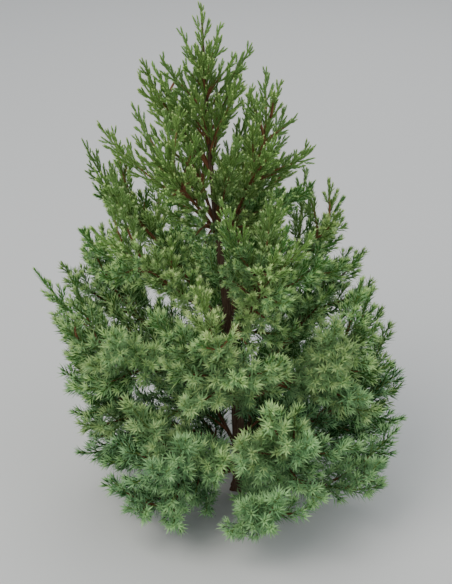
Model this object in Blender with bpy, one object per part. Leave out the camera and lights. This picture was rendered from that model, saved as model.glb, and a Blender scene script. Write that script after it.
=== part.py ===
# Young stricta chinese juniper, rooted in the ground.
# Metres, +Z up.  The origin is the middle of the flat cut under the trunk.
#
# One leaning trunk runs from the cut to the leader's tip.  Five tiers of
# boughs climb away from it, and each bough ends where it enters its own mass
# of foliage.  Three more masses stand round the leader.  Every mass is one
# closed, uneven solid whose spires are the tips of its plumes.
import math
import random

import bmesh
import bpy
import numpy as np
from mathutils import Vector
from mathutils.bvhtree import BVHTree

# ---------------------------------------------------------------- dimensions
SEED = 27
HEIGHT = 0.420            # ground to the leader's topmost tip
LEAN_X = -0.032           # the tip stands this far to the left of the foot
LEAN_Y = 0.006            # and this far back
SWAY = 0.0022             # slight sweep of the stem about its leaning line

TRUNK_TIP_Z = 0.408       # the woody leader ends here, inside the last spray
TRUNK_FOOT_R = 0.0062     # just over the flare
TRUNK_TIP_R = 0.0007
FLARE_R = 0.0030          # added to the radius at the ground
FLARE_H = 0.016
FLARE_LOBES = 5

TOUCH = 0.00035           # clearance where one piece meets the next
MASS_GAP = 0.0030         # daylight kept between two masses

# tips of the plumes: height, distance from the trunk's line
TIP_LINE = ((0.000, 0.118), (0.020, 0.131), (0.088, 0.142), (0.180, 0.134),
            (0.234, 0.119), (0.264, 0.105), (0.317, 0.083), (0.345, 0.067),
            (0.372, 0.054), (0.396, 0.030), (0.420, 0.002))
# the dense foliage between the tips
BODY_LINE = ((0.000, 0.098), (0.020, 0.113), (0.088, 0.123), (0.180, 0.114),
             (0.234, 0.097), (0.264, 0.083), (0.317, 0.058), (0.345, 0.039),
             (0.372, 0.024), (0.396, 0.013), (0.416, 0.003))
# bare middle of the crown, where only the boughs show
CORE_LINE = ((0.000, 0.036), (0.100, 0.035), (0.180, 0.026), (0.250, 0.017),
             (0.300, 0.012), (0.340, 0.008), (0.420, 0.004))
# shoulders and hollows of the outline: azimuth deg, height, amount, spread
SHOULDERS = ((180.0, 0.180, 0.014, 0.040), (180.0, 0.325, 0.012, 0.018),
             (0.0, 0.190, -0.006, 0.050), (0.0, 0.070, 0.003, 0.030))
# underside: clear of the ground, and lifted at the right front
UNDER_Z = 0.006
UNDER_START = 0.072       # beyond this reach the underside climbs
UNDER_SLOPE = 0.62
UNDER_LIFT = 0.022
UNDER_LIFT_AZ = -58.0
UNDER_LIFT_SPREAD = 17.0

# tier: name, boughs, first azimuth, fork height, tip height, mass share
TIERS = (("skirt", 7, -82.0, 0.016, 0.040, 1.00),
         ("low", 6, -58.0, 0.038, 0.112, 1.00),
         ("middle", 6, -88.0, 0.082, 0.196, 1.00),
         ("upper", 5, -64.0, 0.150, 0.276, 1.00),
         ("top", 3, -2.0, 0.236, 0.352, 1.00))
LEADERS = 3
LEADER_AZ = -80.0
LEADER_Z = (0.322, 0.412)
LEADER_OFF = 0.0085
CAP_R = 0.0045            # the topmost spray, over the end of the wood
FORK_SPREAD = 0.010       # forks of one tier are staggered by this
TIP_SPREAD = 0.014
AZ_SPREAD = 7.0

BOUGH_R = (0.0024, 0.0016)   # at the fork of the lowest and highest tier
BOUGH_TAPER = 0.62           # radius left at the end
BOUGH_SIDES = 6
BOUGH_RINGS = 6
BOUGH_RISE = (24.0, 58.0)    # elevation at the fork, lowest and highest tier

CENTRE_STEP = 8           # step of 15 along a bough where its mass is centred
# tips that stand out by themselves: azimuth deg, height, distance from the stem
NOTABLE = ((181.0, 0.209, 0.149),     # far left, half way up
           (-84.0, 0.304, 0.089),     # tall upright plume at the front
           (-55.0, 0.281, 0.098),     # its neighbour to the right
           (176.0, 0.368, 0.050),     # beside the leader, left
           (-4.0, 0.372, 0.056),      # beside the leader, right
           (178.0, 0.316, 0.097),     # left shoulder
           (-80.0, 0.420, 0.0004))    # top of the leader
TIPS = 182                # plume tips over the whole crown
GOLDEN = 137.50776
SPIRE_LEAN = 0.010        # a spire's tip stands this far above its own line
BODY_DIRS = 64            # corners that shape a mass between its spires
SPIRE_FOOT = 0.0098       # radius of a spire's foot
SPIRE_SIDES = 5


# ------------------------------------------------------------------ outlines
def line_at(line, z):
    zs = [p[0] for p in line]
    rs = [p[1] for p in line]
    return np.interp(z, zs, rs)


def stem_x(z):
    t = np.clip(np.asarray(z) / HEIGHT, 0.0, 1.0)
    return LEAN_X * t ** 1.12 + SWAY * np.sin(t * 7.0)


def stem_y(z):
    t = np.clip(np.asarray(z) / HEIGHT, 0.0, 1.0)
    return LEAN_Y * t + SWAY * 0.7 * np.sin(t * 5.2 + 0.9) - SWAY * 0.7 * math.sin(0.9)


def stem_r(z):
    t = np.clip(np.asarray(z) / TRUNK_TIP_Z, 0.0, 1.0)
    return TRUNK_TIP_R + (TRUNK_FOOT_R - TRUNK_TIP_R) * (1.0 - t) ** 1.15


def shoulder(az_deg, z):
    out = 0.0
    for a, zc, amount, spread in SHOULDERS:
        side = np.cos(np.radians(az_deg - a)).clip(0.0, 1.0) ** 2
        out = out + amount * side * np.exp(-((z - zc) / spread) ** 2)
    return out


def reach(line, az_deg, z):
    return line_at(line, z) + shoulder(az_deg, z)


def underside(az_deg, r):
    d = (az_deg - UNDER_LIFT_AZ + 180.0) % 360.0 - 180.0
    return (UNDER_Z + UNDER_LIFT * np.exp(-(d / UNDER_LIFT_SPREAD) ** 2)
            + UNDER_SLOPE * np.maximum(0.0, r - UNDER_START))


def polar(points):
    x = points[..., 0] - stem_x(points[..., 2])
    y = points[..., 1] - stem_y(points[..., 2])
    return np.hypot(x, y), np.degrees(np.arctan2(y, x)), points[..., 2]


def place(r, az_deg, z):
    a = math.radians(az_deg)
    return np.array([float(stem_x(z)) + r * math.cos(a),
                     float(stem_y(z)) + r * math.sin(a), float(z)])


# -------------------------------------------------------------------- layout
def climb(start, end, rise_deg, az_deg, steps=16):
    """Curve of one bough: leaves the stem at rise_deg and bends up to its tip."""
    a = math.radians(az_deg)
    e = math.radians(rise_deg)
    span = np.linalg.norm(end - start)
    out = np.array([math.cos(a) * math.cos(e), math.sin(a) * math.cos(e), math.sin(e)])
    up = math.radians(min(78.0, rise_deg + 16.0))
    back = np.array([math.cos(a) * math.cos(up), math.sin(a) * math.cos(up), math.sin(up)])
    p1 = start + out * span * 0.36
    p2 = end - back * span * 0.30
    t = np.linspace(0.0, 1.0, steps)[:, None]
    return ((1 - t) ** 3 * start + 3 * (1 - t) ** 2 * t * p1
            + 3 * (1 - t) * t ** 2 * p2 + t ** 3 * end)


def layout():
    rng = random.Random(SEED)
    limbs = []
    for level, (name, count, first, fork_z, tip_z, share) in enumerate(TIERS):
        f = level / (len(TIERS) - 1)
        rise = BOUGH_RISE[0] + (BOUGH_RISE[1] - BOUGH_RISE[0]) * f
        for k in range(count):
            az = first + 360.0 * k / count + rng.uniform(-AZ_SPREAD, AZ_SPREAD)
            zf = fork_z + FORK_SPREAD * ((k * 2) % count / max(1, count - 1) - 0.5)
            zt = tip_z + rng.uniform(-TIP_SPREAD, TIP_SPREAD)
            zt = max(zt, float(underside(az, 0.13)) + 0.010)
            r = float(reach(TIP_LINE, az, zt)) * rng.uniform(0.97, 1.0)
            path = climb(place(0.0, az, zf), place(r, az, zt), rise, az)
            limbs.append({"tier": name, "number": k + 1, "az": az, "level": f,
                          "path": path, "bough": True,
                          "seeds": path[5:], "centre": path[CENTRE_STEP]})
    for k in range(LEADERS):
        az = LEADER_AZ + 360.0 * k / LEADERS
        z0, z1 = LEADER_Z
        path = np.array([place(LEADER_OFF * (1.15 - 0.55 * t), az, z0 + (z1 - z0) * t)
                         for t in np.linspace(0.0, 1.0, 14)])
        limbs.append({"tier": "leader", "number": k + 1, "az": az, "level": 1.0,
                      "path": path, "bough": False,
                      "seeds": path, "centre": path[5]})
    return limbs


def plume_tips():
    """Tips on a golden-angle spiral, evenly spread over the crown's surface."""
    rng = random.Random(SEED + 1)
    z = np.linspace(0.014, 0.408, 200)
    r = line_at(TIP_LINE, z)
    area = np.concatenate([[0.0], np.cumsum((r[1:] + r[:-1]) / 2
                                            * np.hypot(np.diff(z), np.diff(r)))])
    # the tips stand closer towards the top
    weight = area / area[-1]
    tips = []
    for k in range(TIPS):
        w = (k + 0.5) / TIPS
        zk = float(np.interp(w, weight, z)) + rng.uniform(-0.006, 0.006)
        az = (GOLDEN * k + rng.uniform(-9.0, 9.0)) % 360.0
        rk = float(reach(TIP_LINE, az, zk)) * rng.uniform(0.93, 1.0)
        # the lowest tips turn up from the underside
        zk = max(zk, float(underside(az, rk)) + 0.003)
        tips.append((place(rk, az, zk), False))
    for az, zk, rk in NOTABLE:
        tips.append((place(rk, az, zk), True))
    return tips


# ---------------------------------------------------------------- foliage
def nearest(points, seeds):
    d = points[..., None, :] - seeds
    return np.sqrt((d * d).sum(-1)).min(-1)


def inside(points, limb, limbs, line):
    """True where a point lies in the limb's own share of the crown."""
    own = nearest(points, limb["seeds"])
    ok = np.ones(own.shape, bool)
    for other in limbs:
        # the leader's masses part on planes through the stem instead
        if other is not limb and (limb["bough"] or other["bough"]):
            ok &= own < nearest(points, other["seeds"]) - MASS_GAP
    r, az, z = polar(points)
    ok &= r < reach(line, az, z)
    ok &= (z > underside(az, r)) & (z < HEIGHT + 0.0004)
    if limb["bough"]:
        ok &= r > line_at(CORE_LINE, z)
    else:
        u = np.array([math.cos(math.radians(limb["az"])), math.sin(math.radians(limb["az"]))])
        flat = np.stack([points[..., 0] - stem_x(z), points[..., 1] - stem_y(z)], -1) @ u
        side = np.abs((az - limb["az"] + 180.0) % 360.0 - 180.0)
        wedge = r * np.sin(np.radians(180.0 / LEADERS - side)) > MASS_GAP * 0.3
        wedge &= flat > stem_r(z) + 0.0009
        # over the woody tip the first mass closes the top
        if limb["number"] == 1:
            wedge |= (z > TRUNK_TIP_Z + 0.0009) & (r < CAP_R)
        else:
            wedge &= (z < TRUNK_TIP_Z) | (r > CAP_R + MASS_GAP)
        ok &= wedge
    return ok


def leave(centre, dirs, limb, limbs, line):
    """Distance from the centre to the edge of the limb's share, along dirs."""
    step = 0.0016
    count = 150
    s = (np.arange(count) + 1) * step
    pts = centre + dirs[:, None, :] * s[None, :, None]
    ok = inside(pts, limb, limbs, line)
    first = np.where(ok.all(1), count - 1, np.argmin(ok, 1))
    lo = first * step
    hi = lo + step
    for _ in range(6):
        mid = (lo + hi) / 2
        good = inside(centre + dirs * mid[:, None], limb, limbs, line)
        lo = np.where(good, mid, lo)
        hi = np.where(good, hi, mid)
    return lo


def even_dirs(count, turn):
    k = np.arange(count)
    z = 1.0 - (2.0 * k + 1.0) / count
    a = np.radians(GOLDEN) * k + turn
    q = np.sqrt(1.0 - z * z)
    return np.stack([q * np.cos(a), q * np.sin(a), z], -1)


def ring_dirs(axis, angle, count, turn):
    a = Vector(axis)
    u = a.orthogonal().normalized()
    v = a.cross(u)
    out = []
    for k in range(count):
        t = turn + 2.0 * math.pi * k / count
        out.append(np.array(a * math.cos(angle)
                            + (u * math.cos(t) + v * math.sin(t)) * math.sin(angle)))
    return out


def mass_mesh(limb, limbs, tips, rng):
    c = limb["centre"]
    # a spire's foot lies under its tip; then the ring round the foot, then the rest
    feet = []
    ends = []
    for tip, exact in sorted(tips, key=lambda t: not t[1]):
        low = tip - np.array([0.0, 0.0, SPIRE_LEAN])
        n = np.linalg.norm(low - c)
        d = (low - c) / n
        angle = math.atan2(SPIRE_FOOT * rng.uniform(0.85, 1.15), n)
        if all(float(np.dot(d, e)) < math.cos(angle * 0.9 + g) for e, g in feet):
            feet.append((d, angle))
            ends.append((tip, exact))
    dirs = [d for d, _ in feet]
    kinds = [1] * len(dirs)
    for i, (d, angle) in enumerate(feet):
        for q in ring_dirs(d, angle, SPIRE_SIDES, rng.uniform(0.0, 6.28)):
            if all(j == i or float(np.dot(q, e)) < math.cos(g * 1.02)
                   for j, (e, g) in enumerate(feet)):
                dirs.append(q)
                kinds.append(2)
    for q in even_dirs(BODY_DIRS, rng.uniform(0.0, 6.28)):
        if all(float(np.dot(q, e)) < math.cos(g * 1.45) for e, g in feet):
            dirs.append(q)
            kinds.append(0)
    dirs = np.array(dirs)
    kinds = np.array(kinds)
    dist = leave(c, dirs, limb, limbs, BODY_LINE)
    uneven = np.array([rng.uniform(0.88, 1.0) for _ in dirs])
    dist = np.where(kinds == 0, dist * uneven, dist)
    points = c + dirs * dist[:, None]
    for i, (tip, exact) in enumerate(ends):
        d = tip - c
        n = float(np.linalg.norm(d))
        far = float(leave(c, (d / n)[None, :], limb, limbs, TIP_LINE)[0])
        if exact and far > n * 0.80:
            points[i] = tip
        else:
            points[i] = c + d / n * min(far, n)

    bm = bmesh.new()
    for d in dirs:
        bm.verts.new(d)
    bm.verts.ensure_lookup_table()
    bmesh.ops.convex_hull(bm, input=bm.verts)
    bm.verts.index_update()
    for v, p in zip(bm.verts, points):
        v.co = Vector(p)
    bmesh.ops.triangulate(bm, faces=bm.faces)
    bmesh.ops.recalc_face_normals(bm, faces=bm.faces)
    return bm


# ----------------------------------------------------------------- round wood
def tube(rings, centres=None):
    """Closed tube from rings of points, with flat fans on both ends."""
    bm = bmesh.new()
    rows = [[bm.verts.new(p) for p in ring] for ring in rings]
    n = len(rows[0])
    for a, b in zip(rows, rows[1:]):
        for i in range(n):
            j = (i + 1) % n
            bm.faces.new((a[i], a[j], b[j], b[i]))
    bm.faces.new(list(reversed(rows[0])))
    bm.faces.new(rows[-1])
    bmesh.ops.triangulate(bm, faces=bm.faces, quad_method="BEAUTY", ngon_method="BEAUTY")
    bmesh.ops.recalc_face_normals(bm, faces=bm.faces)
    return bm


def trunk_mesh():
    heights = [0.0, 0.0035, 0.008, 0.014, 0.024, 0.045, 0.075, 0.11, 0.15, 0.19,
               0.23, 0.27, 0.31, 0.345, 0.38, TRUNK_TIP_Z]
    sides = 10
    rings = []
    for z in heights:
        ring = []
        for i in range(sides):
            a = 2.0 * math.pi * i / sides
            flare = FLARE_R * (1.0 - min(1.0, z / FLARE_H)) ** 2
            lobe = 1.0 + 0.45 * math.cos(FLARE_LOBES * a + 0.6)
            r = float(stem_r(z)) + flare * lobe
            ring.append((float(stem_x(z)) + r * math.cos(a),
                         float(stem_y(z)) + r * math.sin(a), z))
        rings.append(ring)
    return tube(rings)


def bough_mesh(limb, mass_tree):
    """One tapering limb from the trunk's side to the face of its mass."""
    path = limb["path"]
    seg = np.linalg.norm(np.diff(path, axis=0), axis=1)
    run = np.concatenate([[0.0], np.cumsum(seg)])
    r0 = BOUGH_R[0] + (BOUGH_R[1] - BOUGH_R[0]) * limb["level"]

    def at(s):
        return np.array([np.interp(s, run, path[:, k]) for k in range(3)])

    def ring_at(s, r):
        d = at(min(s + 0.001, run[-1])) - at(max(s - 0.001, 0.0))
        d = Vector(d).normalized()
        u = Vector((-math.sin(math.radians(limb["az"])), math.cos(math.radians(limb["az"])), 0.0))
        v = d.cross(u).normalized()
        u = v.cross(d).normalized()
        p = Vector(at(s))
        return [p + (u * math.cos(t) + v * math.sin(t)) * r
                for t in (2.0 * math.pi * i / BOUGH_SIDES for i in range(BOUGH_SIDES))]

    # start: the whole ring stands clear of the trunk's skin
    s0 = 0.002
    while s0 < 0.03:
        ok = True
        for p in ring_at(s0, r0):
            rr, _, z = polar(np.array(p))
            if rr < float(stem_r(z)) + FLARE_R * 1.45 * (1.0 - min(1.0, max(0.0, z) / FLARE_H)) ** 2 + TOUCH:
                ok = False
        if ok:
            break
        s0 += 0.0002
    # end: the last ring stands just short of the mass
    s1 = s0 + 0.004
    r1 = r0 * BOUGH_TAPER
    while s1 < run[-1]:
        near = min(mass_tree.find_nearest(p)[3] for p in ring_at(s1 + 0.0002, r1))
        if near < TOUCH + 0.0002:
            break
        s1 += 0.0002
    rings = []
    for k in range(BOUGH_RINGS):
        t = k / (BOUGH_RINGS - 1)
        rings.append(ring_at(s0 + (s1 - s0) * t, r0 + (r1 - r0) * t))
    limb["bough_span"] = (s0, s1)
    return tube(rings)


# --------------------------------------------------------------------- build
def material(name, colour, rough):
    mat = bpy.data.materials.new(name)
    mat.use_nodes = True
    shader = mat.node_tree.nodes["Principled BSDF"]
    shader.inputs["Base Color"].default_value = (*colour, 1.0)
    shader.inputs["Roughness"].default_value = rough
    shader.inputs["Metallic"].default_value = 0.0
    mat.diffuse_color = (*colour, 1.0)
    return mat


def add(name, bm, mat, smooth=False):
    mesh = bpy.data.meshes.new(name)
    bm.to_mesh(mesh)
    bm.free()
    if smooth:
        mesh.shade_smooth()
    mesh.materials.append(mat)
    obj = bpy.data.objects.new(name, mesh)
    bpy.context.scene.collection.objects.link(obj)
    return obj


def build():
    for obj in list(bpy.data.objects):
        bpy.data.objects.remove(obj, do_unlink=True)

    bark = material("juniper_bark", (0.150, 0.088, 0.052), 0.9)
    limbs = layout()
    tips = plume_tips()
    shares = [[] for _ in limbs]
    crest = next(i for i, limb in enumerate(limbs) if not limb["bough"])
    for tip in tips:
        own = [float(nearest(tip[0], limb["seeds"])) for limb in limbs]
        over = tip[0][2] > TRUNK_TIP_Z + 0.002
        shares[crest if over else int(np.argmin(own))].append(tip)
    for limb, share in zip(limbs, shares):
        if limb["bough"]:
            share.append((limb["path"][-1], False))

    add("trunk", trunk_mesh(), bark, smooth=True)
    for index, (limb, share) in enumerate(zip(limbs, shares)):
        rng = random.Random(SEED * 100 + index)
        bm = mass_mesh(limb, limbs, share, rng)
        tree = BVHTree.FromBMesh(bm)
        f = float(np.clip(limb["centre"][2] / HEIGHT, 0.0, 1.0))
        leaf = material("juniper_needles_%s_%d" % (limb["tier"], limb["number"]),
                        (0.080 + 0.050 * f, 0.200 + 0.050 * f, 0.095 - 0.020 * f), 0.7)
        add("foliage_%s_%d" % (limb["tier"], limb["number"]), bm, leaf)
        if limb["bough"]:
            add("bough_%s_%d" % (limb["tier"], limb["number"]),
                bough_mesh(limb, tree), bark, smooth=True)


build()
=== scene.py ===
import math
import random

import bpy
import numpy as np
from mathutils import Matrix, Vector


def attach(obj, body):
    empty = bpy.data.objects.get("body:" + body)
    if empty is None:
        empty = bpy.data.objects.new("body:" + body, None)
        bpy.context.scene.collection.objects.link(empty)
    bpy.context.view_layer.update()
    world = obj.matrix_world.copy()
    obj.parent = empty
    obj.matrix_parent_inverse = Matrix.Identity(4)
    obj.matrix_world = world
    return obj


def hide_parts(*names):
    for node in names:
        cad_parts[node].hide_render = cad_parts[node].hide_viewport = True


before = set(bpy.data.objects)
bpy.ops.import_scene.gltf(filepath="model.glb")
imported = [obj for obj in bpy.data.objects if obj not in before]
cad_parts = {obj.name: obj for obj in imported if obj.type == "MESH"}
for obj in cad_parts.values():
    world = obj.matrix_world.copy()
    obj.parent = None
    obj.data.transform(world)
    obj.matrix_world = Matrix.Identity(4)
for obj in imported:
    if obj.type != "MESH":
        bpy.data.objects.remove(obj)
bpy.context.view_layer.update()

# ---------------------------------------------------------------- the plant's
# sizes, the same as those of the trunk, boughs and masses in the frame
SEED = 27
HEIGHT = 0.420
LEAN_X = -0.032
LEAN_Y = 0.006
SWAY = 0.0022
TRUNK_TIP_Z = 0.408
TRUNK_FOOT_R = 0.0062
TRUNK_TIP_R = 0.0007
FLARE_R = 0.0030
FLARE_H = 0.016
FLARE_LOBES = 5

TIP_LINE = ((0.000, 0.118), (0.020, 0.131), (0.088, 0.142), (0.180, 0.134),
            (0.234, 0.119), (0.264, 0.105), (0.317, 0.083), (0.345, 0.067),
            (0.372, 0.054), (0.396, 0.030), (0.420, 0.002))
CORE_LINE = ((0.000, 0.036), (0.100, 0.035), (0.180, 0.026), (0.250, 0.017),
             (0.300, 0.012), (0.340, 0.008), (0.420, 0.004))
SHOULDERS = ((180.0, 0.180, 0.014, 0.040), (180.0, 0.325, 0.012, 0.018),
             (0.0, 0.190, -0.006, 0.050), (0.0, 0.070, 0.003, 0.030))
UNDER_Z = 0.006
UNDER_START = 0.072
UNDER_SLOPE = 0.62
UNDER_LIFT = 0.022
UNDER_LIFT_AZ = -58.0
UNDER_LIFT_SPREAD = 17.0

TIERS = (("skirt", 7, -82.0, 0.016, 0.040),
         ("low", 6, -58.0, 0.038, 0.112),
         ("middle", 6, -88.0, 0.082, 0.196),
         ("upper", 5, -64.0, 0.150, 0.276),
         ("top", 3, -2.0, 0.236, 0.352))
LEADERS = 3
LEADER_AZ = -80.0
LEADER_Z = (0.322, 0.412)
LEADER_OFF = 0.0085
FORK_SPREAD = 0.010
TIP_SPREAD = 0.014
AZ_SPREAD = 7.0
BOUGH_R = (0.0024, 0.0016)
BOUGH_RISE = (24.0, 58.0)
NOTABLE = ((181.0, 0.209, 0.149),
           (-84.0, 0.304, 0.089),
           (-55.0, 0.281, 0.098),
           (176.0, 0.368, 0.050),
           (-4.0, 0.372, 0.056),
           (178.0, 0.316, 0.097),
           (-80.0, 0.420, 0.0004))
TIPS = 182
GOLDEN = 137.50776

# ------------------------------------------------------------------- growth
FILL_TIPS = 200                  # plumes between and inside those of the outline
INNER_TIPS = 34                    # short plumes that hide the trunk
LATERAL_GAP = (0.0066, 0.0050)    # along a plume: low in the crown, high
LATERAL_LEN = (0.032, 0.024)       # longest side shoot: low, high
SPRIG_GAP = (0.0068, 0.0054)       # along a side shoot
SPRIG_LEN = (0.015, 0.012)
WHORL_GAP = (0.00270, 0.00165)     # between whorls of three needles
NEEDLE_LEN = (0.0103, 0.0042)
NEEDLE_WIDE = (0.00150, 0.00125)
NEEDLE_SPREAD = (55.0, 20.0)       # degrees from the shoot
CHANGE_Z = (0.150, 0.300)          # needles change from awl-like to scale-like


# ------------------------------------------------------------------ outlines
def line_at(line, z):
    return np.interp(z, [p[0] for p in line], [p[1] for p in line])


def stem_x(z):
    t = np.clip(np.asarray(z) / HEIGHT, 0.0, 1.0)
    return LEAN_X * t ** 1.12 + SWAY * np.sin(t * 7.0)


def stem_y(z):
    t = np.clip(np.asarray(z) / HEIGHT, 0.0, 1.0)
    return LEAN_Y * t + SWAY * 0.7 * np.sin(t * 5.2 + 0.9) - SWAY * 0.7 * math.sin(0.9)


def stem_r(z):
    t = np.clip(np.asarray(z) / TRUNK_TIP_Z, 0.0, 1.0)
    return TRUNK_TIP_R + (TRUNK_FOOT_R - TRUNK_TIP_R) * (1.0 - t) ** 1.15


def shoulder(az_deg, z):
    out = 0.0
    for a, zc, amount, spread in SHOULDERS:
        side = np.cos(np.radians(az_deg - a)).clip(0.0, 1.0) ** 2
        out = out + amount * side * np.exp(-((z - zc) / spread) ** 2)
    return out


def reach(line, az_deg, z):
    return line_at(line, z) + shoulder(az_deg, z)


def underside(az_deg, r):
    d = (az_deg - UNDER_LIFT_AZ + 180.0) % 360.0 - 180.0
    return (UNDER_Z + UNDER_LIFT * np.exp(-(d / UNDER_LIFT_SPREAD) ** 2)
            + UNDER_SLOPE * np.maximum(0.0, r - UNDER_START))


def polar(points):
    x = points[..., 0] - stem_x(points[..., 2])
    y = points[..., 1] - stem_y(points[..., 2])
    return np.hypot(x, y), np.degrees(np.arctan2(y, x)), points[..., 2]


def place(r, az_deg, z):
    a = math.radians(az_deg)
    return np.array([float(stem_x(z)) + r * math.cos(a),
                     float(stem_y(z)) + r * math.sin(a), float(z)])


def unit(v):
    return v / np.maximum(np.linalg.norm(v, axis=-1, keepdims=True), 1e-12)


# -------------------------------------------------------------------- layout
def climb(start, end, rise_deg, az_deg, steps=16):
    a = math.radians(az_deg)
    e = math.radians(rise_deg)
    span = np.linalg.norm(end - start)
    out = np.array([math.cos(a) * math.cos(e), math.sin(a) * math.cos(e), math.sin(e)])
    up = math.radians(min(78.0, rise_deg + 16.0))
    back = np.array([math.cos(a) * math.cos(up), math.sin(a) * math.cos(up), math.sin(up)])
    p1 = start + out * span * 0.36
    p2 = end - back * span * 0.30
    t = np.linspace(0.0, 1.0, steps)[:, None]
    return ((1 - t) ** 3 * start + 3 * (1 - t) ** 2 * t * p1
            + 3 * (1 - t) * t ** 2 * p2 + t ** 3 * end)


def layout():
    rng = random.Random(SEED)
    limbs = []
    for level, (name, count, first, fork_z, tip_z) in enumerate(TIERS):
        f = level / (len(TIERS) - 1)
        rise = BOUGH_RISE[0] + (BOUGH_RISE[1] - BOUGH_RISE[0]) * f
        for k in range(count):
            az = first + 360.0 * k / count + rng.uniform(-AZ_SPREAD, AZ_SPREAD)
            zf = fork_z + FORK_SPREAD * ((k * 2) % count / max(1, count - 1) - 0.5)
            zt = tip_z + rng.uniform(-TIP_SPREAD, TIP_SPREAD)
            zt = max(zt, float(underside(az, 0.13)) + 0.010)
            r = float(reach(TIP_LINE, az, zt)) * rng.uniform(0.97, 1.0)
            path = climb(place(0.0, az, zf), place(r, az, zt), rise, az)
            limbs.append({"tier": name, "number": k + 1, "az": az, "level": f,
                          "path": path, "bough": True, "seeds": path[5:]})
    for k in range(LEADERS):
        az = LEADER_AZ + 360.0 * k / LEADERS
        z0, z1 = LEADER_Z
        path = np.array([place(LEADER_OFF * (1.15 - 0.55 * t), az, z0 + (z1 - z0) * t)
                         for t in np.linspace(0.0, 1.0, 14)])
        limbs.append({"tier": "leader", "number": k + 1, "az": az, "level": 1.0,
                      "path": path, "bough": False, "seeds": path})
    return limbs


def plume_tips():
    rng = random.Random(SEED + 1)
    z = np.linspace(0.014, 0.408, 200)
    r = line_at(TIP_LINE, z)
    area = np.concatenate([[0.0], np.cumsum((r[1:] + r[:-1]) / 2
                                            * np.hypot(np.diff(z), np.diff(r)))])
    weight = area / area[-1]
    tips = []
    for k in range(TIPS):
        w = (k + 0.5) / TIPS
        zk = float(np.interp(w, weight, z)) + rng.uniform(-0.006, 0.006)
        az = (GOLDEN * k + rng.uniform(-9.0, 9.0)) % 360.0
        rk = float(reach(TIP_LINE, az, zk)) * rng.uniform(0.93, 1.0)
        zk = max(zk, float(underside(az, rk)) + 0.003)
        tips.append((place(rk, az, zk), False))
    for az, zk, rk in NOTABLE:
        tips.append((place(rk, az, zk), True))
    return tips


def nearest(points, seeds):
    d = points[..., None, :] - seeds
    return np.sqrt((d * d).sum(-1)).min(-1)


# ----------------------------------------------------------------- shoot rule
def curve(p0, p1, p2, p3, n):
    t = np.linspace(0.0, 1.0, n)[:, None]
    return ((1 - t) ** 3 * p0 + 3 * (1 - t) ** 2 * t * p1
            + 3 * (1 - t) * t ** 2 * p2 + t ** 3 * p3)


def lengths(path):
    return np.concatenate([[0.0], np.cumsum(np.linalg.norm(np.diff(path, axis=0), axis=1))])


def along(path, run, s):
    s = np.asarray(s, float)
    p = np.stack([np.interp(s, run, path[:, k]) for k in range(3)], -1)
    i = np.clip(np.searchsorted(run, s, side="right") - 1, 0, len(run) - 2)
    j = np.clip(i + 1, 0, len(run) - 1)
    w = ((s - run[i]) / np.maximum(run[j] - run[i], 1e-9))[..., None]
    tang = unit(np.gradient(path, axis=0))
    return p, unit(tang[i] * (1 - w) + tang[j] * w)


def side_frame(t):
    ref = np.where(np.abs(t[..., 2:3]) < 0.92, np.array([0.0, 0.0, 1.0]), np.array([0.0, 1.0, 0.0]))
    u = unit(np.cross(ref, t))
    return u, np.cross(t, u)


def height_mix(z):
    return float(np.clip((z - CHANGE_Z[0]) / (CHANGE_Z[1] - CHANGE_Z[0]), 0.0, 1.0))


def mix(pair, f):
    return pair[0] + (pair[1] - pair[0]) * f


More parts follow.
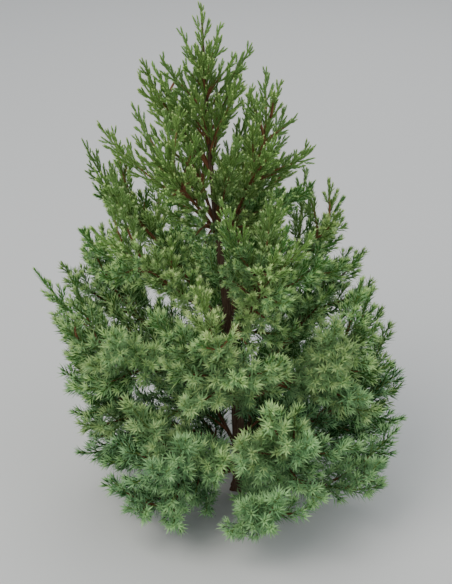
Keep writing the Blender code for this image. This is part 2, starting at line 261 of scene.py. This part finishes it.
class Grower:
    """Collects stems and needles.  A stem is a path with two radii; a needle
    is a base, a direction, an upper side, a length, a width and a spray."""

    def __init__(self):
        self.axes = []       # plume axes: path, r0, r1
        self.stems = []      # side shoots: path (6 points), r0, r1
        self.sprays = []     # one entry for each leafy shoot
        self.rng = random.Random(SEED + 7)
        self.nrng = np.random.default_rng(SEED + 8)

    def leafy(self, path, group, shade, f, start=0.0, tip=True, spread=1.0, size=1.0, bloom=0.0):
        run = lengths(path)
        total = run[-1]
        gap = mix(WHORL_GAP, f)
        n = int((total - start) / gap)
        if n < 1:
            return
        s = start + (np.arange(n) + 0.35) * gap
        # the last whorls crowd together in the tip
        s = np.concatenate([s, total - gap * np.array([0.45, 0.12])]) if tip else s
        p, t = along(path, run, np.clip(s, 0.0, total))
        u, v = side_frame(t)
        m = len(s)
        turn = self.nrng.uniform(0.0, 6.28) + np.arange(m) * math.radians(60.0) \
            + self.nrng.normal(0.0, 0.10, m)
        left = (total - s)                                   # to the tip
        young = np.clip(1.0 - left / (0.011 if f < 0.5 else 0.007), 0.0, 1.0) if tip else np.zeros(m)
        length = mix(NEEDLE_LEN, f) * size * (1.0 - mix((0.30, 0.45), f) * young ** 2.0)
        open_ = np.radians(mix(NEEDLE_SPREAD, f) * spread) * (1.0 - mix((0.45, 0.60), f) * young ** 2.0)
        width = mix(NEEDLE_WIDE, f) * (1.0 - 0.15 * young)
        for k in range(3):
            a = turn + 2.0943951 * k + self.nrng.normal(0.0, 0.12, m)
            r = u * np.cos(a)[:, None] + v * np.sin(a)[:, None]
            o = open_ * (1.0 + self.nrng.normal(0.0, 0.13, m))
            d = unit(t * np.cos(o)[:, None] + r * np.sin(o)[:, None])
            up = unit(t * np.sin(o)[:, None] - r * np.cos(o)[:, None])
            ln = length * self.nrng.uniform(0.80, 1.12, m)
            self.sprays.append((p + r * 0.0003, d, up, ln, width * self.nrng.uniform(0.85, 1.1, m),
                                young, np.full(m, shade), np.full(m, group)))

    def allowed(self, p, slack=0.0):
        r, az, z = polar(p)
        return r < float(reach(TIP_LINE, az, z)) + slack and z > float(underside(az, r)) - 0.002

    def shoot(self, base, d0, d1, length, n=6):
        return curve(base, base + d0 * length * 0.34, base + unit(d0 + d1) * length * 0.66,
                     base + unit(d0 + d1 * 1.1) * length, n)

    def plume(self, path, group, shade, f_bias=0.0, r0=0.0011, r1=0.0004, vigour=1.0, free=False,
              bare=0.0):
        rng = self.rng
        run = lengths(path)
        total = run[-1]
        self.axes.append((path, r0, r1))
        zt = path[-1][2]
        f_tip = min(1.0, max(0.0, height_mix(zt) + f_bias))
        self_start = max(bare, total * 0.30)
        self.leafy(path, group, shade, f_tip, start=max(self_start, total - 0.055), spread=0.82)
        s = max(bare, 0.010)
        k = rng.uniform(0.0, 360.0)
        while s < total - 0.004:
            left = total - s
            p, t = along(path, run, s)
            f = min(1.0, max(0.0, height_mix(p[2]) + f_bias))
            r, az, z = polar(p)
            core = float(line_at(CORE_LINE, z))
            gap = mix(LATERAL_GAP, f) * rng.uniform(0.8, 1.25)
            if free or r > core * 0.45:
                u, v = side_frame(t)
                k += GOLDEN
                a = math.radians(k)
                side = u * math.cos(a) + v * math.sin(a)
                lmax = mix(LATERAL_LEN, f) * vigour
                ln = min(lmax, 0.0045 + 0.40 * left) * rng.uniform(0.72, 1.12)
                lean = math.radians(rng.uniform(40.0, 54.0) - 12.0 * f - 6.0 * (left < 0.02))
                d0 = unit(t * math.cos(lean) + side * math.sin(lean))
                d1 = unit(t * 0.8 + side * 0.25 + np.array([0.0, 0.0, 0.30]))
                for _ in range(4):
                    end = p + unit(d0 + d1 * 1.1) * ln
                    if self.allowed(end, 0.004 if free else 0.0):
                        break
                    ln *= 0.72
                if ln > 0.0035:
                    lat = self.shoot(p, d0, d1, ln)
                    self.lateral(lat, group, shade, f, free)
            s += gap

    def lateral(self, path, group, shade, f, free):
        rng = self.rng
        run = lengths(path)
        total = run[-1]
        self.stems.append((path, 0.00055, 0.00032))
        self.leafy(path, group, shade, f, start=min(0.0015, total * 0.2))
        if total < 0.009:
            return
        s = 0.0045
        k = rng.uniform(0.0, 360.0)
        while s < total - 0.004:
            left = total - s
            p, t = along(path, run, s)
            u, v = side_frame(t)
            k += GOLDEN
            a = math.radians(k)
            side = u * math.cos(a) + v * math.sin(a)
            ln = min(mix(SPRIG_LEN, f), 0.0035 + 0.48 * left) * rng.uniform(0.75, 1.15)
            lean = math.radians(rng.uniform(36.0, 50.0) - 10.0 * f)
            d0 = unit(t * math.cos(lean) + side * math.sin(lean))
            d1 = unit(t * 0.9 + side * 0.2 + np.array([0.0, 0.0, 0.15]))
            end = p + unit(d0 + d1 * 1.1) * ln
            if self.allowed(end, 0.004 if free else 0.0):
                sprig = self.shoot(p, d0, d1, ln)
                self.leafy(sprig, group, shade, f, start=0.0012)
            s += mix(SPRIG_GAP, f) * rng.uniform(0.85, 1.2)


SHADES = 3      # shades of each zone, dealt out by plume
ZONES = 3       # low, middle and high in the crown


def shade_of(z, rng):
    zone = z / HEIGHT * 3.0 + rng.uniform(-0.35, 0.35)
    zone = int(np.clip(math.floor(zone * 1.05), 0, ZONES - 1))
    return zone * SHADES + rng.randrange(SHADES)


GROUPS = ("skirt", "low", "middle", "upper", "top", "leader")


def grow():
    g = Grower()
    rng = random.Random(SEED + 5)
    limbs = layout()
    tips = plume_tips()
    stem = np.array([place(0.0, 0.0, z) for z in np.linspace(0.0, HEIGHT, 60)])
    stem_run = lengths(stem)
    for k in range(FILL_TIPS):
        zk = 0.028 + 0.365 * ((k + 0.5) / FILL_TIPS) ** 1.38
        az = (GOLDEN * (k + 0.37) + rng.uniform(-14.0, 14.0)) % 360.0
        rk = float(reach(TIP_LINE, az, zk)) * rng.uniform(0.34, 0.88)
        zk = max(zk, float(underside(az, rk)) + 0.008)
        tips.append((place(rk, az, zk), False))
    for k in range(INNER_TIPS):
        zk = 0.070 + 0.230 * (k + 0.5) / INNER_TIPS
        az = (GOLDEN * (k + 0.71) + rng.uniform(-10.0, 10.0)) % 360.0
        tips.append((place(float(reach(TIP_LINE, az, zk)) * rng.uniform(0.24, 0.42), az, zk), False))
    shares = [[] for _ in limbs]
    for tip, exact in tips:
        own = [float(nearest(tip, limb["seeds"])) for limb in limbs]
        shares[int(np.argmin(own))].append((tip, exact))
    for limb, share in zip(limbs, shares):
        group = GROUPS.index(limb["tier"])
        path = limb["path"]
        run = lengths(path)
        if limb["bough"]:
            g.plume(path, group, shade_of(path[-1][2], rng),
                    r0=mix(BOUGH_R, limb["level"]), r1=0.0004, bare=run[-1] * 0.22, vigour=1.05)
        host, host_run = (path, run) if limb["bough"] else (stem, stem_run)
        for tip, exact in share:
            if exact and tip[2] > HEIGHT - 0.001:
                continue
            d = np.linalg.norm(host - tip, axis=1)
            near = int(np.argmin(d))
            gap = d[near]
            if gap < 0.010:
                continue
            s0 = host_run[near] - gap * (1.35 if limb["bough"] else 1.6)
            s0 = float(np.clip(s0, 0.012, host_run[-1] - 0.010))
            base, t0 = along(host, host_run, s0)
            ln = np.linalg.norm(tip - base)
            to = (tip - base) / ln
            r, az, z = polar(tip)
            a = math.radians(float(az))
            out = np.array([math.cos(a), math.sin(a), 0.0])
            rise = mix((0.85, 2.3), min(1.0, tip[2] / 0.30))
            end = unit(to * 1.0 + (out * 0.5 + np.array([0, 0, rise])) * 0.55)
            p1 = base + unit(t0 + to) * ln * 0.36
            p2 = tip - end * ln * 0.36
            plume = curve(base, p1, p2, tip, 14)
            g.plume(plume, group, shade_of(tip[2], rng), r0=0.0012 if limb["bough"] else 0.0009,
                    r1=0.0004, vigour=rng.uniform(0.85, 1.05), free=exact,
                    f_bias=0.25 if exact else 0.0, bare=ln * 0.16)
    # the leader itself
    top = np.array([place(0.0, 0.0, z) for z in np.linspace(0.285, HEIGHT, 24)])
    g.plume(top, GROUPS.index("leader"), shade_of(0.42, rng), r0=0.0008, r1=0.0004, vigour=0.8,
            free=True, bare=0.004)
    return g, limbs


# ------------------------------------------------------------------ materials
def plain(name, colour, rough=0.6, spec=0.35):
    mat = bpy.data.materials.new(name)
    mat.use_nodes = True
    sh = mat.node_tree.nodes["Principled BSDF"]
    sh.inputs["Base Color"].default_value = (*colour, 1.0)
    sh.inputs["Roughness"].default_value = rough
    sh.inputs["Specular IOR Level"].default_value = spec
    return mat


def lin(r, g, b):
    return tuple(((c / 255.0 + 0.055) / 1.055) ** 2.4 if c > 10 else c / 255.0 / 12.92
                 for c in (r, g, b))


# upper face, under face: low, middle and high in the crown
UPPER = (lin(126, 174, 118), lin(140, 184, 122), lin(168, 200, 126))
UNDER = (lin(50, 100, 40), lin(70, 120, 50), lin(118, 156, 76))
YOUNG = (lin(156, 198, 136), lin(176, 208, 138), lin(206, 226, 156))


def needle_materials():
    mats = []
    rng = random.Random(SEED + 9)
    for zone in range(ZONES):
        for shade in range(SHADES):
            k = 1.0 + (shade - 1) * 0.12
            w = rng.uniform(-0.04, 0.04)
            for what, table in (("top", UPPER), ("back", UNDER), ("tip", YOUNG)):
                c = table[zone]
                c = (c[0] * (k + w), c[1] * k, c[2] * (k - w))
                mats.append(plain("needle_%s_%d_%d" % (what, zone, shade), c,
                                  rough=0.55 if what == "back" else 0.65))
    return mats


# -------------------------------------------------------------------- meshes
def mesh_from(name, verts, tris, slots, mats, smooth=False):
    mesh = bpy.data.meshes.new(name)
    mesh.vertices.add(len(verts))
    mesh.vertices.foreach_set("co", np.ascontiguousarray(verts, np.float32).ravel())
    mesh.loops.add(tris.size)
    mesh.loops.foreach_set("vertex_index", np.ascontiguousarray(tris, np.int32).ravel())
    mesh.polygons.add(len(tris))
    mesh.polygons.foreach_set("loop_start", np.arange(0, tris.size, 3, dtype=np.int32))
    for m in mats:
        mesh.materials.append(m)
    if slots is not None:
        mesh.polygons.foreach_set("material_index", np.ascontiguousarray(slots, np.int32))
    mesh.update(calc_edges=True)
    mesh.polygons.foreach_set("use_smooth", np.full(len(tris), smooth, bool))
    obj = bpy.data.objects.new(name, mesh)
    bpy.context.scene.collection.objects.link(obj)
    return obj


def needle_piece(name, rows, mats):
    base, d, up, ln, wide, young, shade, _ = rows
    side = unit(np.cross(up, d))
    mid = base + d * (ln * 0.34)[:, None]
    lift = up * (wide * 0.28)[:, None]
    half = side * (wide * 0.5)[:, None]
    bend = up * (ln * 0.05)[:, None]
    tip = base + d * ln[:, None] + bend
    n = len(ln)
    verts = np.stack([base, mid + half + lift, mid - half + lift, tip], 1).reshape(-1, 3)
    one = np.array([[3, 1, 2], [0, 2, 1], [0, 1, 3], [0, 3, 2]])
    tris = (np.arange(n)[:, None, None] * 4 + one[None]).reshape(-1, 3)
    pick = shade.astype(int) * 3
    top = np.where(young > 0.72, pick + 2, pick)
    back = np.where(young > 0.90, pick + 2, pick + 1)
    slots = np.stack([top, top, back, back], 1).reshape(-1)
    used = np.unique(slots)
    remap = np.zeros(len(mats), int)
    remap[used] = np.arange(len(used))
    return mesh_from(name, verts, tris, remap[slots], [mats[i] for i in used])


def tubes(paths, r0, r1, sides):
    """Closed thin tubes for many paths with the same number of points."""
    paths = np.asarray(paths)
    m, n, _ = paths.shape
    tang = unit(np.gradient(paths, axis=1))
    ref = np.where(np.abs(tang[:, :1, 2:3]) < 0.9, np.array([0.0, 0.0, 1.0]), np.array([0.0, 1.0, 0.0]))
    u = unit(np.cross(np.broadcast_to(ref, tang.shape), tang))
    v = np.cross(tang, u)
    t = np.linspace(0.0, 1.0, n)[None, :]
    r = np.asarray(r0)[:, None] * (1 - t) + np.asarray(r1)[:, None] * t
    a = 2 * math.pi * np.arange(sides) / sides
    ring = (u[:, :, None, :] * np.cos(a)[None, None, :, None]
            + v[:, :, None, :] * np.sin(a)[None, None, :, None])
    verts = paths[:, :, None, :] + ring * r[:, :, None, None]
    ends = np.stack([paths[:, 0] - tang[:, 0] * 0.0001, paths[:, -1] + tang[:, -1] * r[:, -1:] * 1.5], 1)
    block = n * sides + 2
    verts = np.concatenate([verts.reshape(m, -1, 3), ends], 1)
    tris = []
    for i in range(n - 1):
        for k in range(sides):
            a0 = i * sides + k
            a1 = i * sides + (k + 1) % sides
            tris += [(a0, a1, a1 + sides), (a0, a1 + sides, a0 + sides)]
    for k in range(sides):
        tris.append((n * sides, (k + 1) % sides, k))
        tris.append((n * sides + 1, (n - 1) * sides + k, (n - 1) * sides + (k + 1) % sides))
    tris = np.array(tris)
    tris = (np.arange(m)[:, None, None] * block + tris[None]).reshape(-1, 3)
    return verts.reshape(-1, 3), tris


def resample(path, n):
    run = lengths(path)
    s = np.linspace(0.0, run[-1], n)
    return np.stack([np.interp(s, run, path[:, k]) for k in range(3)], -1)


def bark_material():
    mat = bpy.data.materials.new("juniper_bark")
    mat.use_nodes = True
    nt = mat.node_tree
    sh = nt.nodes["Principled BSDF"]
    sh.inputs["Roughness"].default_value = 0.85
    sh.inputs["Specular IOR Level"].default_value = 0.25
    co = nt.nodes.new("ShaderNodeTexCoord")
    mp = nt.nodes.new("ShaderNodeMapping")
    mp.inputs["Scale"].default_value = (900.0, 900.0, 90.0)
    nz = nt.nodes.new("ShaderNodeTexNoise")
    nz.inputs["Scale"].default_value = 1.0
    nz.inputs["Detail"].default_value = 5.0
    ramp = nt.nodes.new("ShaderNodeValToRGB")
    ramp.color_ramp.elements[0].position = 0.30
    ramp.color_ramp.elements[0].color = (*lin(74, 48, 34), 1.0)
    ramp.color_ramp.elements[1].position = 0.72
    ramp.color_ramp.elements[1].color = (*lin(118, 98, 80), 1.0)
    mid = ramp.color_ramp.elements.new(0.52)
    mid.color = (*lin(84, 66, 52), 1.0)
    bump = nt.nodes.new("ShaderNodeBump")
    bump.inputs["Strength"].default_value = 0.5
    bump.inputs["Distance"].default_value = 0.0004
    nt.links.new(co.outputs["Object"], mp.inputs["Vector"])
    nt.links.new(mp.outputs["Vector"], nz.inputs["Vector"])
    nt.links.new(nz.outputs["Fac"], ramp.inputs["Fac"])
    nt.links.new(ramp.outputs["Color"], sh.inputs["Base Color"])
    nt.links.new(nz.outputs["Fac"], bump.inputs["Height"])
    nt.links.new(bump.outputs["Normal"], sh.inputs["Normal"])
    return mat


def ridged(theta, z, seed, k):
    """Long flaking ridges of bark: theta round the stem, z along it."""
    rng = random.Random(seed)
    out = np.zeros(np.broadcast(theta, z).shape)
    for i in range(5):
        m = k + rng.randrange(-2, 4)
        out += (1.0 - np.abs(np.sin(m * theta * 0.5 + 1.7 * np.sin(z * rng.uniform(60, 170) + rng.uniform(0, 6))
                                    + z * rng.uniform(-25, 25) + rng.uniform(0, 6)))) * (0.75 ** i)
    return out / 3.05


def wood_mesh(limbs):
    blocks, faces, off = [], [], 0

    def add(path, radius, sides, seed, k, relief, flare=None, flat_foot=False):
        nonlocal off
        n = len(path)
        tang = unit(np.gradient(path, axis=0))
        if flat_foot:
            tang[:] = (0.0, 0.0, 1.0)
            u = np.tile(np.array([1.0, 0.0, 0.0]), (n, 1))
            v = np.tile(np.array([0.0, 1.0, 0.0]), (n, 1))
        else:
            u, v = side_frame(tang)
        run = lengths(path)
        th = 2 * math.pi * np.arange(sides)[None, :] / sides
        rel = ridged(th, run[:, None], seed, k) - 0.5
        r = radius[:, None] * (1.0 + relief * rel)
        if flare is not None:
            r = r + flare(th, path[:, 2:3])
        verts = path[:, None, :] + (u[:, None, :] * np.cos(th)[..., None]
                                    + v[:, None, :] * np.sin(th)[..., None]) * r[..., None]
        if flat_foot:
            verts[0, :, 2] = 0.0
        ends = np.stack([path[0], path[-1] + tang[-1] * radius[-1]])
        blocks.append(np.concatenate([verts.reshape(-1, 3), ends]))
        i = np.arange(n - 1)[:, None] * sides
        j = np.arange(sides)[None, :]
        jn = (j + 1) % sides
        a0, a1 = i + j, i + jn
        quads = np.stack([np.stack([a0, a1, a1 + sides], -1), np.stack([a0, a1 + sides, a0 + sides], -1)], 2)
        tri = quads.reshape(-1, 3)
        caps = np.concatenate([
            np.stack([np.full(sides, n * sides), jn[0], j[0]], -1),
            np.stack([np.full(sides, n * sides + 1), (n - 1) * sides + j[0], (n - 1) * sides + jn[0]], -1)])
        faces.append(np.concatenate([tri, caps]) + off)
        off += n * sides + 2

    z = np.concatenate([np.linspace(0.0, 0.03, 40), np.linspace(0.031, TRUNK_TIP_Z, 300)])
    stem = np.stack([stem_x(z), stem_y(z), z], -1)

    def flare(th, zz):
        w = FLARE_R * np.clip(1.0 - zz / FLARE_H, 0.0, 1.0) ** 2
        return w * (1.0 + 0.45 * np.cos(FLARE_LOBES * th + 0.6))

    add(stem, stem_r(z) * 1.0, 36, 11, 12, 0.16, flare=flare, flat_foot=True)
    for i, limb in enumerate(limbs):
        if not limb["bough"]:
            continue
        total = lengths(limb["path"])[-1]
        path = resample(limb["path"], int(total / 0.0022))
        keep = max(10, int(len(path) * 0.72))
        path = path[:keep]
        r0 = mix(BOUGH_R, limb["level"])
        radius = r0 * (1.0 - 0.72 * np.linspace(0.0, 1.0, keep)) \
            + 0.0009 * np.exp(-lengths(path) / 0.004)
        add(path, radius, 10, 50 + i, 6, 0.18)
    return np.concatenate(blocks), np.concatenate(faces)


# --------------------------------------------------------------------- build
def build():
    grower, limbs = grow()
    rows = [np.concatenate([s[k] for s in grower.sprays]) for k in range(8)]
    group = rows[7].astype(int)
    mats = needle_materials()
    pieces = []
    total = 0
    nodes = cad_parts
    for g, name in enumerate(GROUPS):
        pick = np.where(group == g)[0]
        parts = max(1, math.ceil(len(pick) * 4 / 196000))
        for k, share in enumerate(np.array_split(pick, parts)):
            piece = needle_piece("needles_%s_%d" % (name, k + 1), [r[share] for r in rows], mats)
            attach(piece, "root")
            if k == 0:
                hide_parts(*[n for n in nodes if n.startswith("foliage_%s_" % name)])
            pieces.append(piece)
            total += len(share) * 4
            print("PIECE", piece.name, len(share) * 4)
    # stems
    green = plain("young_stem", lin(118, 142, 74), 0.6)
    brown = plain("old_stem", lin(128, 84, 56), 0.8)
    v1, t1 = tubes([resample(p, 12) for p, _, _ in grower.axes],
                   [a[1] for a in grower.axes], [a[2] for a in grower.axes], 6)
    per = len(t1) // len(grower.axes)
    band = np.arange(len(t1)) % per
    old = (band < 6 * 2 * 7).astype(int)
    axes = mesh_from("plume_stems", v1, t1, old, [green, brown], smooth=True)
    v2, t2 = tubes([resample(p, 4) for p, _, _ in grower.stems],
                   [a[1] for a in grower.stems], [a[2] for a in grower.stems], 3)
    sides = mesh_from("side_stems", v2, t2, None, [green], smooth=True)
    for piece in (axes, sides):
        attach(piece, "root")
        print("PIECE", piece.name, len(piece.data.polygons))
        total += len(piece.data.polygons)
    v3, t3 = wood_mesh(limbs)
    wood = mesh_from("bark_wood", v3, t3, None, [bark_material()], smooth=True)
    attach(wood, "root")
    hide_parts("trunk", *[n for n in nodes if n.startswith("bough_")])
    total += len(t3)
    print("PIECE bark_wood", len(t3), "TOTAL", total, "needles", len(group))


def camera():
    cam = bpy.data.cameras.new("camera")
    cam.lens = 1266.0 * 36.0 / 584.0
    cam.sensor_width = 36.0
    cam.sensor_fit = "AUTO"
    cam.clip_start = 0.05
    obj = bpy.data.objects.new("camera", cam)
    obj.location = (-0.01220, -0.91693, 0.63625)
    obj.rotation_euler = (math.radians(90.0 - 26.0), 0.0, 0.0)
    bpy.context.scene.collection.objects.link(obj)
    bpy.context.scene.camera = obj


def studio():
    mesh = bpy.data.meshes.new("floor")
    mesh.from_pydata([(-6, -6, 0), (6, -6, 0), (6, 6, 0), (-6, 6, 0)], [], [(0, 1, 2, 3)])
    mesh.materials.append(plain("floor_pale", (0.72, 0.71, 0.69), 0.9, 0.2))
    floor = bpy.data.objects.new("floor", mesh)
    bpy.context.scene.collection.objects.link(floor)
    world = bpy.data.worlds.new("studio")
    world.use_nodes = True
    world.node_tree.nodes["Background"].inputs["Color"].default_value = (0.86, 0.93, 1.0, 1.0)
    world.node_tree.nodes["Background"].inputs["Strength"].default_value = 0.55
    bpy.context.scene.world = world
    for name, loc, size, power, tint in (
            ("key", (-0.9, -0.9, 1.7), 1.2, 26.0, (1.0, 0.98, 0.94)),
            ("fill", (1.4, -0.8, 1.1), 1.6, 9.0, (0.92, 0.96, 1.0)),
            ("back", (0.3, 1.5, 1.5), 1.4, 10.0, (1.0, 1.0, 1.0))):
        light = bpy.data.lights.new(name, "AREA")
        light.size = size
        light.energy = power
        light.color = tint
        obj = bpy.data.objects.new(name, light)
        obj.location = loc
        aim = Vector((-0.01, 0.0, 0.18)) - Vector(loc)
        obj.rotation_euler = aim.to_track_quat("-Z", "Y").to_euler()
        bpy.context.scene.collection.objects.link(obj)


camera()
studio()
build()
bpy.context.view_layer.update()
